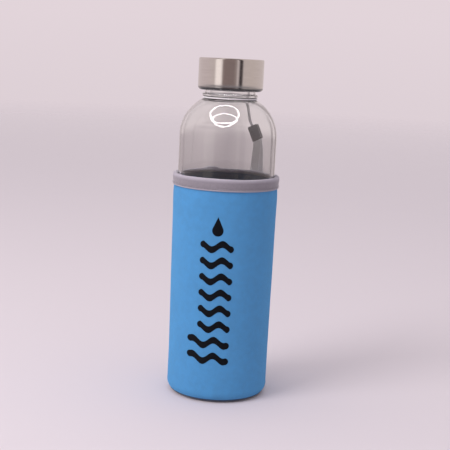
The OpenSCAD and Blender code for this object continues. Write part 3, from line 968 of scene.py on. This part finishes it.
class BOTTLE_OT_cap(bpy.types.Operator):
    """Makes the brushed steel cap with its curled edge."""

    bl_idname = "bottle.cap"
    bl_label = "Steel cap"

    def execute(self, context):
        size = sizes()
        radius, top, low = size.cap_radius, size.cap_top, size.cap_low
        curl, sheet = size.curl_radius, size.sheet_steel
        corner = 1.1 * MM
        profile = [(0, top), (radius * 0.5, top)]
        profile += arc(radius - corner, top - corner, corner, 90, 0, 10)
        profile += line((radius, top - corner), (radius, low + curl + 0.5 * MM), 8)
        # A shallow groove marks where the wall runs into the curl.
        profile += beside(radius, low + curl, (0, 0.45), (-0.16, 0.18), (-0.16, 0.02), (-0.04, -0.22))
        profile += arc(radius - curl, low + curl, curl, -9, -90, 10)
        profile += arc(radius - curl, low + curl, curl - sheet, -90, 0, 8)
        profile += arc(radius - corner, top - corner, corner - sheet, 0, 90, 4)
        profile += [(0, top - sheet)]
        bm = turned(profile, closed=False)
        cap = add_piece(
            bm, "steel_cap", self.finish(), body="cap", nodes=("cap_shell",), sharp=50
        )
        # Seen past the cap, the ring lamps' reflection in the shoulder stays whole.
        cap.visible_glossy = False
        return {"FINISHED"}

    def finish(self):
        """Steel brushed round the cap: fine lines that follow the turn, with faint scuffs."""
        base = colours().steel
        shade = Shade(
            "brushed_steel", Metallic=1.0, Roughness=0.22, Anisotropic=0.85, Anisotropic_Rotation=0.25
        )
        x, y, z = shade.split(shade.place())
        # The lines follow the turn both up the wall and across the top.
        across = shade.times(shade.plus(shade.radius(x, y), z), 9000.0)
        angle = shade.math("ARCTAN2", y, x)
        fine = shade.noise(shade.add("CombineXYZ", across, shade.times(angle, 2.2)), 1.0, 4, 0.7)
        broad = shade.noise(shade.add("CombineXYZ", shade.times(across, 0.12), shade.times(angle, 1.1)), 1.0)
        tone = shade.tone(fine, 0.3, 0.7, 1.0, tinted(base, 0.86), tinted(base, 1.12))
        worn = shade.tone(broad, 0.35, 0.65, 0.25, tone, tinted(base, 1.15))
        # Painted reflection: the curled edge's colour is darkened towards dark grey, standing in for the shade
        # it mirrors from below.
        edge = sizes().cap_low + sizes().curl_radius
        curl = shade.range(z, edge - 0.2 * MM, edge + 0.3 * MM, 0.75, 0.0)
        shade.colour(shade.mix(curl, worn, (0.16, 0.165, 0.18)))
        streak = shade.range(fine, 0.3, 0.7, 0.16, 0.26)
        scuff = shade.range(shade.noise(shade.place(), 160, 4), 0.6, 0.8, 0.0, 0.08)
        shade.drive("Roughness", shade.plus(streak, scuff))
        shade.relief(fine, 0.10, 0.00002)
        shade.drive("Tangent", shade.add("Tangent", direction_type="RADIAL", axis="Z"))
        return shade.material


class BOTTLE_OT_cap_inside(bpy.types.Operator):
    """Finishes the cap's moulded liner and makes its gasket."""

    bl_idname = "bottle.cap_inside"
    bl_label = "Liner and gasket"

    def execute(self, context):
        base = colours().liner
        shade = Shade(
            "moulded_liner", Roughness=0.45, IOR=1.49, Subsurface_Weight=0.15, Subsurface_Scale=0.004
        )
        place = shade.place()
        flow = shade.noise(shade.scaled(place, (1, 1, 0.2)), 120)
        grain = shade.noise(place, 1800)
        shade.colour(shade.tone(flow, 0.35, 0.7, 1.0, tinted(base, 0.96), tinted(base, 1.04)))
        shade.rough(grain, 0.3, 0.7, 0.38, 0.55)
        shade.relief(grain, 0.2, 0.00003)
        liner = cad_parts["cap_insert"]
        liner.data.materials.clear()
        liner.data.materials.append(shade.material)
        liner.visible_glossy = False

        low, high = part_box("cap_seal")
        outer, inner = high.x, 12.45 * MM
        # The ring is pressed a little hollow where the rim bears on it.
        hollow = beside((outer + inner) / 2, low.z, (-1.6, 0), (-1.0, 0.12), (1.0, 0.12), (1.6, 0))
        corners = [(inner, high.z), (inner, low.z), *hollow, (outer, low.z), (outer, high.z)]
        bm = turned(soften(corners, 0.25 * MM))
        base = colours().gasket
        shade = Shade("silicone", Roughness=0.55, IOR=1.42, Subsurface_Weight=0.25, Subsurface_Scale=0.003)
        dust = shade.noise(shade.place(), 700, 4)
        shade.colour(shade.tone(dust, 0.45, 0.7, 0.5, base, tinted(base, 0.88)))
        shade.rough(dust, 0.35, 0.7, 0.48, 0.7)
        shade.relief(dust, 0.15, 0.00005)
        add_piece(
            bm, "gasket_ring", shade.material, body="gasket", nodes=("cap_seal",),
            sharp=60,
        )
        return {"FINISHED"}


# ---- Sleeve ----


def sleeve_surface(angle, height):
    """Radius of the sleeve's knit face at an angle and a height: a soft wall that is never quite true."""
    size = sizes()
    place = polar(size.sleeve_radius, angle, height)
    under = size.sleeve_top - size.tape_height
    taper = -1.35 * MM * kept((165 * MM - height) / (135 * MM)) ** 0.85
    swell = 0.10 * MM * wobble(place, 0.030, 5.0) + 0.05 * MM * wobble(place, 0.011, 9.0)
    pinch = -0.42 * MM * math.exp(-(((height - under) / (2.4 * MM)) ** 2))
    bulge = 0.10 * MM * math.exp(-(((height - under + 9 * MM) / (7.0 * MM)) ** 2))
    return size.sleeve_radius + taper + swell + pinch + bulge + 0.02 * MM * height / size.sleeve_top


def follow_sleeve(bm, inner):
    """Moves the part of a turned layer that lies outside a radius with the knit face."""
    heel = 8 * MM
    for v in bm.verts:
        x, y, z = v.co
        if math.hypot(x, y) >= inner - max(0.0, heel - z):
            push_out(v, (sleeve_surface(math.atan2(y, x), z) - sizes().sleeve_radius) * kept(z / heel))


def layer_profile(inner, outer, top, steps=60):
    """Outline of one layer of the sleeve's wall, turned in round the heel."""
    size = sizes()
    x, z = size.body_radius - size.heel_radius, BASE_HEIGHT + size.heel_radius
    points = line((outer, top), (outer, z), steps)
    points += arc(x, z, outer - x, 0, -90, 12)
    points += arc(x, z, inner - x, -90, 0, 12)
    points += line((inner, z), (inner, top), steps)
    return [(outer, top)] + points + [(inner, top)]


def base_edge():
    """Radius of the sleeve's bottom disc."""
    return sizes().body_radius - sizes().heel_radius - 0.9 * MM


class BOTTLE_OT_sleeve(bpy.types.Operator):
    """Makes the sleeve's padded wall, knit face, foam and lining, and its bottom disc."""

    bl_idname = "bottle.sleeve"
    bl_label = "Sleeve wall"

    def execute(self, context):
        size = sizes()
        outer, skin = size.sleeve_radius, size.knit_skin
        inner = outer - size.sleeve_wall
        top = size.sleeve_top - skin
        cut = outer - skin - 0.1 * MM
        bm = turned(layer_profile(outer - skin, outer, top), 160)
        follow_sleeve(bm, cut)
        knit = knit_finish("sky_knit", colours().knit)
        sleeve_piece(bm, "sleeve_face", knit, "sleeve_jersey")

        bm = turned(layer_profile(inner + skin, outer - skin, top, 30), 160)
        follow_sleeve(bm, cut)
        base = colours().foam
        shade = Shade("closed_cell_foam", Roughness=0.9)
        cells = shade.add("TexVoronoi", shade.place(), None, 2600.0)
        # Painted shade: each cell's hollow is darkened and its rim made lighter, standing in for the shade in
        # the cells.
        shade.colour(shade.mix(cells, tinted(base, 0.6), tinted(base, 1.8)))
        shade.rough(cells, 0.0, 0.6, 0.82, 0.96)
        shade.relief(cells, 0.6, 0.0001)
        sleeve_piece(bm, "foam_wall", shade.material, "sleeve_foam")

        under_tape = size.sleeve_top - size.tape_inside - 0.02 * MM
        bm = turned(layer_profile(inner, inner + skin, under_tape, 30), 128)
        knit = knit_finish("black_lining", colours().lining, radius=inner, fuzz=0.1)
        sleeve_piece(bm, "lining", knit, "sleeve_lining")

        edge = base_edge()
        rim = [(edge - 0.1 * MM, 0), (edge, 0.1 * MM), (edge, skin), (0, skin)]
        bm = turned([(0, 0)] + line((0, 0), rim[0], 12) + rim, 128, closed=False)
        knit = knit_finish("base_knit", colours().knit, radius=edge)
        sleeve_piece(bm, "base_face", knit, "base_jersey")
        rounded = beside(edge, BASE_HEIGHT, (0, -0.2), (-0.2, 0))
        bm = turned([(0, skin), (edge, skin), *rounded, (0, BASE_HEIGHT)], 96, closed=False)
        sleeve_piece(bm, "base_pad", shade.material, "base_foam")
        return {"FINISHED"}


def tape_finish():
    """Grey ribbed tape with fine cross ribs and a slight sheen."""
    base = colours().tape
    shade = Shade("binding_tape", Roughness=0.7, Sheen_Weight=0.6, Sheen_Roughness=0.35)
    around, up = shade.wrapped(SLEEVE_RADIUS + 0.5 * MM)
    height = shade.times(shade.wave(around, 0.55), shade.line(shade.wave(up, 0.42), 0.45, 0.55))
    place = shade.place()
    crease = shade.noise(shade.scaled(place, (1, 1, 0.4)), 150)
    mottle = shade.noise(place, 700)
    # Painted shade: the tape is darkened to 0.72 in the grooves between its ribs.
    yarn_with_painted_groove_shade = shade.mix(height, tinted(base, 0.72), tinted(base, 1.12))
    # Painted highlight: the folded rim and the lower edge are made paler than the flat between them, the lower
    # edge a little bluer, standing in for the light that catches their roundings.
    low = (sizes().sleeve_top - sizes().tape_height) / MM
    rim = shade.range(up, low + 5.2, low + 7.2, 0.0, 0.55)
    edge = shade.range(up, low + 0.5, low + 1.3, 0.4, 0.0)
    tape_with_painted_highlights = shade.mix(shade.plus(rim, edge), yarn_with_painted_groove_shade, (1.9 * base[0], 1.95 * base[1], 2.0 * base[2]))
    shade.colour(shade.tone(mottle, 0.35, 0.7, 0.25, tape_with_painted_highlights, tinted(base, 1.3)))
    shade.rough(mottle, 0.3, 0.7, 0.6, 0.8)
    shade.relief(height, 0.5, 0.00012, shade.bump(crease, 0.5, 0.0008))
    shade.set("Sheen Tint", (0.9, 0.86, 0.9))
    return shade.material


class BOTTLE_OT_binding(bpy.types.Operator):
    """Makes the grey tape folded over the sleeve's edge, and its lapped end."""

    bl_idname = "bottle.binding"
    bl_label = "Binding tape"

    def execute(self, context):
        size = sizes()
        top, outer = size.sleeve_top, size.sleeve_radius
        low, inside, core = top - size.tape_height, top - size.tape_inside, top - size.knit_skin
        inner = outer - size.sleeve_wall
        # Up the outside, over the rim and down the inside, then back along the foam.
        rolled = beside(
            outer, low, (-0.10, 0.10), (0.40, -0.05), (0.68, 0.12), (0.70, 0.42), (0.50, 0.80),
            (0.20, 1.12), (0.16, 1.45), (0.26, 1.9), (0.36, 2.8), (0.46, 4.0), (0.58, 5.2), (0.64, 6.1),
            (0.52, 6.9), (0.18, 7.4),
        )
        rolled += beside(outer, top, (-0.3, 0.02))
        rolled += beside((inner + outer) / 2, top, (0.2, 0.10), (-0.4, 0.06))
        rolled += beside(inner, top, (0.45, -0.06), (0.12, -0.4), (0.03, -1.0))
        rolled += beside(inner, inside, (0.05, 0.1), (0.25, 0), (0.45, 0.1))
        rolled += beside(inner, core, (0.48, -0.02)) + beside(outer, core, (-0.10, -0.02))
        bm = turned(rolled, 216)
        for v in bm.verts:
            x, y, z = v.co
            angle = math.atan2(y, x)
            ruck = wobble((x, y, z), 0.0045, 2.0) * 0.5 + wobble((x, y, 0), 0.013, 4.0)
            if math.hypot(x, y) > outer + 0.1 * MM:
                follow = (sleeve_surface(angle, z) - outer) * 0.7
                rib = 0.06 * MM * math.sin(angle * 84) * (1 - max(0.0, (z - low) / size.tape_height))
                push_out(v, 0.10 * MM * ruck + follow + rib)
            if z > low + 6.5 * MM:
                v.co.z += 0.16 * MM * wobble((x, y, 0), 0.02, 7.0) + 0.05 * MM * ruck
        tape = tape_finish()
        sleeve_piece(bm, "binding", tape, "sleeve_binding", 70)
        self.lap(size, tape)
        return {"FINISHED"}

    def lap(self, size, tape):
        """The tape's free end, lapped over at the back: a puckered fold that stands above the edge."""
        top, outer = size.sleeve_top, size.sleeve_radius
        corners = beside(outer, top - size.tape_height, (0.50, 0), (0.95, 0.1), (0.98, 3.5))
        corners += beside(
            outer, top, (0.95, 0.3), (0.3, 1.15), (-0.9, 1.2), (-2.0, 0.9), (-2.1, 0.05), (0.40, 0.05),
        )
        bm = bmesh.new()
        half = LAP_WIDTH / outer / 2
        rim = [bm.verts.new((r, 0, z)) for r, z in soften(corners, 0.35 * MM, 3)]
        edges = [bm.edges.new((rim[i], rim[(i + 1) % len(rim)])) for i in range(len(rim))]
        bmesh.ops.spin(
            bm, geom=rim + edges, cent=(0, 0, 0), axis=(0, 0, 1), dvec=(0, 0, 0), angle=2 * half,
            space=Matrix.Identity(4), steps=22, use_merge=False, use_normal_flip=False, use_duplicate=False,
        )
        bmesh.ops.holes_fill(bm, edges=bm.edges, sides=len(rim))
        turn = Matrix.Rotation(SEAM_ANGLE - half, 3, "Z")
        bmesh.ops.rotate(bm, cent=(0, 0, 0), matrix=turn, verts=bm.verts)
        bmesh.ops.recalc_face_normals(bm, faces=bm.faces)
        for v in bm.verts:
            x, y, z = v.co
            across = (math.atan2(y, x) - SEAM_ANGLE) / half
            droop = max(0.0, abs(across) - 0.55) / 0.45
            if math.hypot(x, y) > outer + 0.6 * MM:
                push_out(v, 0.12 * MM * wobble(v.co, 0.004, 6.0) - 0.3 * MM * droop)
            if z > top + 0.2 * MM:
                v.co.z += -0.7 * MM * droop + 0.14 * MM * wobble(v.co, 0.005, 8.0)
        sleeve_piece(bm, "binding_lap", tape, "binding_overlap", 60)


def stitch_form():
    """A plain bar one unit long and one unit in radius, cut across for bending."""
    bm = bmesh.new()
    bmesh.ops.create_cone(bm, cap_ends=True, cap_tris=False, segments=8, radius1=1, radius2=1, depth=1)
    upright = [e for e in bm.edges if abs(e.verts[0].co.z - e.verts[1].co.z) > 0.5]
    bmesh.ops.subdivide_edges(bm, edges=upright, cuts=4, use_grid_fill=False)
    form = bpy.data.meshes.new("stitch_form")
    bm.to_mesh(form)
    bm.free()
    return form


def stitch(bm, form, start, end, radius, out, rise=0.35):
    """Adds one stitch of thread from start to end, arched a little outwards and drawn in at its ends."""
    before = len(bm.verts)
    bm.from_mesh(form)
    bm.verts.ensure_lookup_table()
    run = end - start
    along = run.normalized()
    side = along.cross(out).normalized()
    up = side.cross(along)
    middle = (start + end) / 2
    for v in bm.verts[before:]:
        ends = max(0.0, 1 - 4 * v.co.z * v.co.z)
        wide = radius * (0.35 + 0.65 * ends**0.35)
        lift = v.co.y * wide + radius * (2 * rise * ends - 0.45)
        v.co = middle + side * v.co.x * wide + up * lift + run * v.co.z


class BOTTLE_OT_stitches(bpy.types.Operator):
    """Sews the binding, the back seam and the seam round the base."""

    bl_idname = "bottle.stitches"
    bl_label = "Stitching"

    def execute(self, context):
        size = sizes()
        form = stitch_form()
        self.binding_row(size, form)
        self.back_seam(size, form)
        self.base_seam()
        bpy.data.meshes.remove(form)
        return {"FINISHED"}

    def binding_row(self, size, form):
        """One row of lock stitches that sinks the tape."""
        height = size.sleeve_top - size.tape_height + 1.3 * MM
        count = round(TURN * size.sleeve_radius / size.stitch_length)
        half = TURN / count * 0.42
        lap = LAP_WIDTH / size.sleeve_radius / 2
        bm = bmesh.new()
        for i in range(count):
            angle = TURN * i / count
            off = abs((angle - SEAM_ANGLE + math.pi) % TURN - math.pi)
            if abs(off - lap) < 0.02:
                continue
            radius = size.sleeve_radius + (1.0 * MM if off < lap else 0.34 * MM)
            ends = [polar(radius, a, height) for a in (angle - half, angle + half)]
            stitch(bm, form, *ends, size.thread_size / 2, polar(1, angle, 0))
        bmesh.ops.recalc_face_normals(bm, faces=bm.faces)
        thread = thread_finish("tape_thread", colours().tape_thread)
        sleeve_piece(bm, "binding_stitches", thread, "binding_stitch", 60)

    def back_seam(self, size, form):
        """A flat seam: a zigzag between two needle rows."""
        low, high = 13 * MM, size.sleeve_top - size.tape_height - 0.4 * MM
        half, pitch, gap = 1.9 * MM / size.sleeve_radius, 1.5 * MM, 0.1 * MM
        zigzag, needle = size.thread_size / 2, size.thread_size * 0.55
        out = polar(1, SEAM_ANGLE, 0)
        bm = bmesh.new()

        def spot(across, height):
            """A place on the knit at a share of the seam's half width."""
            angle = SEAM_ANGLE + across * half
            return polar(sleeve_surface(angle, height), angle, height)

        for i in range(int((high - low) / pitch)):
            z = low + i * pitch
            turn = spot(1, z + pitch * 0.5)
            stitch(bm, form, spot(-1, z), turn, zigzag, out)
            stitch(bm, form, turn, spot(-1, z + pitch), zigzag, out)
            for across in (-1.06, 1.06):
                stitch(bm, form, spot(across, z + gap), spot(across, z + pitch - gap), needle, out, 0.7)
        bmesh.ops.recalc_face_normals(bm, faces=bm.faces)
        thread = thread_finish("seam_thread", colours().seam_thread)
        sleeve_piece(bm, "back_seam", thread, "back_seam_stitch", 60)

    def base_seam(self):
        """An overlocked seam: a soft dark welt with loops of thread wound over it."""
        inner = base_edge()
        corners = beside(
            inner, 0, (0, 0.35), (0.6, 0.10), (2.6, 0.10), (3.7, 0.22), (4.5, 0.75), (5.45, 1.45),
            (5.95, 2.0), (5.6, 2.3), (3.4, 0.85), (1.0, 0.6), (0.9, 2.4), (0, 2.6),
        )
        bm = turned(soften(corners, 0.25 * MM, 3), 300)
        for v in bm.verts:
            if math.hypot(v.co.x, v.co.y) > inner + 3.0 * MM:
                angle = math.atan2(v.co.y, v.co.x)
                push_out(v, 0.11 * MM * abs(math.sin(angle * 75)) - 0.03 * MM)
        # Partly painted shade: the welt's near-black thread also stands in for the shade along the sleeve's
        # foot.
        thread = thread_finish("base_thread", colours().base_thread)
        sleeve_piece(bm, "base_seam", thread, "base_seam_stitch", 60)


# ---- Print ----


class BOTTLE_OT_print(bpy.types.Operator):
    """Lays the printed film of ripples and a drop on the sleeve's front."""

    bl_idname = "bottle.print"
    bl_label = "Printed film"

    def execute(self, context):
        size = sizes()
        centre, low, step, thick = -3.6 * MM, 30 * MM, 10.4 * MM, 4.4 * MM
        short, longer, count = 21.6 * MM, 27.8 * MM, 8
        bm = bmesh.new()
        for i in range(count):
            width = longer if i < 2 else short
            self.ripple(bm, centre + (short - width) / 2, low + i * step, width, thick)
        self.drop(bm, centre, low + count * step)
        bmesh.ops.recalc_face_normals(bm, faces=bm.faces)
        for v in bm.verts:
            x, lift, z = v.co
            angle = math.atan2(-math.sqrt(max(0.0, size.sleeve_radius ** 2 - x * x)), x)
            v.co = polar(sleeve_surface(angle, z) + 0.03 * MM + lift, angle, z)
        bmesh.ops.recalc_face_normals(bm, faces=bm.faces)
        sleeve_piece(bm, "printed_film", self.finish(), "print_motif", 50)
        return {"FINISHED"}

    def raise_film(self, bm, made, low, high):
        """Gives the flat faces between two heights the film's thickness, along Y for now."""
        bmesh.ops.remove_doubles(bm, verts=made, dist=0.004 * MM)
        flat = [f for f in bm.faces if all(abs(v.co.y) < 1e-9 for v in f.verts)]
        fresh = [f for f in flat if low < f.calc_center_median().z < high]
        raised = bmesh.ops.extrude_face_region(bm, geom=fresh)["geom"]
        verts = [g for g in raised if isinstance(g, bmesh.types.BMVert)]
        bmesh.ops.translate(bm, vec=(0, sizes().film_thickness, 0), verts=verts)

    def ripple(self, bm, x, z, width, thick):
        """A wavy band with round ends."""
        made = bmesh.ops.create_grid(bm, x_segments=72, y_segments=6, size=0.5)["verts"]
        half = width / 2
        straight = half - thick / 2
        reach, wave_length, swing = 5.1 * MM, 14 * MM, 1.9 * MM
        for v in made:
            # Points crowd towards the ends, so that the round ends are smooth.
            along = half * math.sin(v.co.x * math.pi)
            over = max(0.0, abs(along) - straight)
            tall = math.sqrt(max(0.0, (thick / 2) ** 2 - over * over))
            lift = swing * math.sin(TURN * kept(along, -straight, straight) / wave_length)
            v.co = Vector((x + along, 0, z + lift + v.co.y * 2 * tall))
        self.raise_film(bm, made, z - reach, z + reach)

    def drop(self, bm, x, z):
        """A drop with its point upwards."""
        radius, tall = 3.6 * MM, 8.64 * MM
        made = bmesh.ops.create_grid(bm, x_segments=8, y_segments=40, size=0.5)["verts"]
        touch = math.asin(radius / tall)
        for v in made:
            up = (tall - radius) / 2 + (tall + radius) / 2 * math.sin(v.co.y * math.pi)
            if up < radius * math.sin(touch):
                wide = math.sqrt(max(0.0, radius * radius - up * up))
            else:
                wide = (tall - up) * math.tan(touch)
            v.co = Vector((x + v.co.x * 2 * wide, 0, z + up))
        self.raise_film(bm, made, z - radius - 0.3 * MM, z + tall)

    def finish(self):
        """Smooth near-black film, with the knit showing faintly through it."""
        base = colours().film
        shade = Shade("printed_film", Roughness=0.6, Specular_IOR_Level=0.15)
        around, up = shade.wrapped(SLEEVE_RADIUS)
        wear = shade.noise(shade.place(), 420, 4)
        shade.colour(shade.tone(wear, 0.5, 0.8, 0.5, base, tinted(base, 2.2)))
        shade.rough(wear, 0.35, 0.7, 0.42, 0.6)
        shade.relief(shade.times(shade.wave(around, WALE), shade.wave(up, COURSE)), 0.3, 0.00006)
        return shade.material


# ---- Panel and registering ----

STEPS = (
    BOTTLE_OT_stage, BOTTLE_OT_clamp, BOTTLE_OT_neck_cord, BOTTLE_OT_strap, BOTTLE_OT_glass, BOTTLE_OT_cap,
    BOTTLE_OT_cap_inside, BOTTLE_OT_sleeve, BOTTLE_OT_binding, BOTTLE_OT_stitches, BOTTLE_OT_print,
)


class BOTTLE_PT_panel(bpy.types.Panel):
    """Lists the bottle's steps, sizes and colours in the sidebar."""

    bl_idname = "BOTTLE_PT_panel"
    bl_label = "Glass Water Bottle"
    bl_space_type = "VIEW_3D"
    bl_region_type = "UI"
    bl_category = "Bottle"

    def draw(self, context):
        for step in STEPS:
            self.layout.operator(step.bl_idname)
        scene = context.scene
        for title, group in (("Sizes", scene.bottle_sizes), ("Colours", scene.bottle_colours)):
            box = self.layout.box()
            box.label(text=title)
            for name in group.__annotations__:
                box.prop(group, name)


CLASSES = (BottleSizes, BottleColours, *STEPS, BOTTLE_PT_panel)


def register():
    for cls in CLASSES:
        bpy.utils.register_class(cls)
    bpy.types.Scene.bottle_sizes = PointerProperty(type=BottleSizes)
    bpy.types.Scene.bottle_colours = PointerProperty(type=BottleColours)


def unregister():
    del bpy.types.Scene.bottle_colours
    del bpy.types.Scene.bottle_sizes
    for cls in reversed(CLASSES):
        bpy.utils.unregister_class(cls)


def main():
    """Builds the stage and every piece."""
    register()
    for step in STEPS:
        group, name = step.bl_idname.split(".")
        getattr(getattr(bpy.ops, group), name)()


if __name__ == "__main__":
    main()
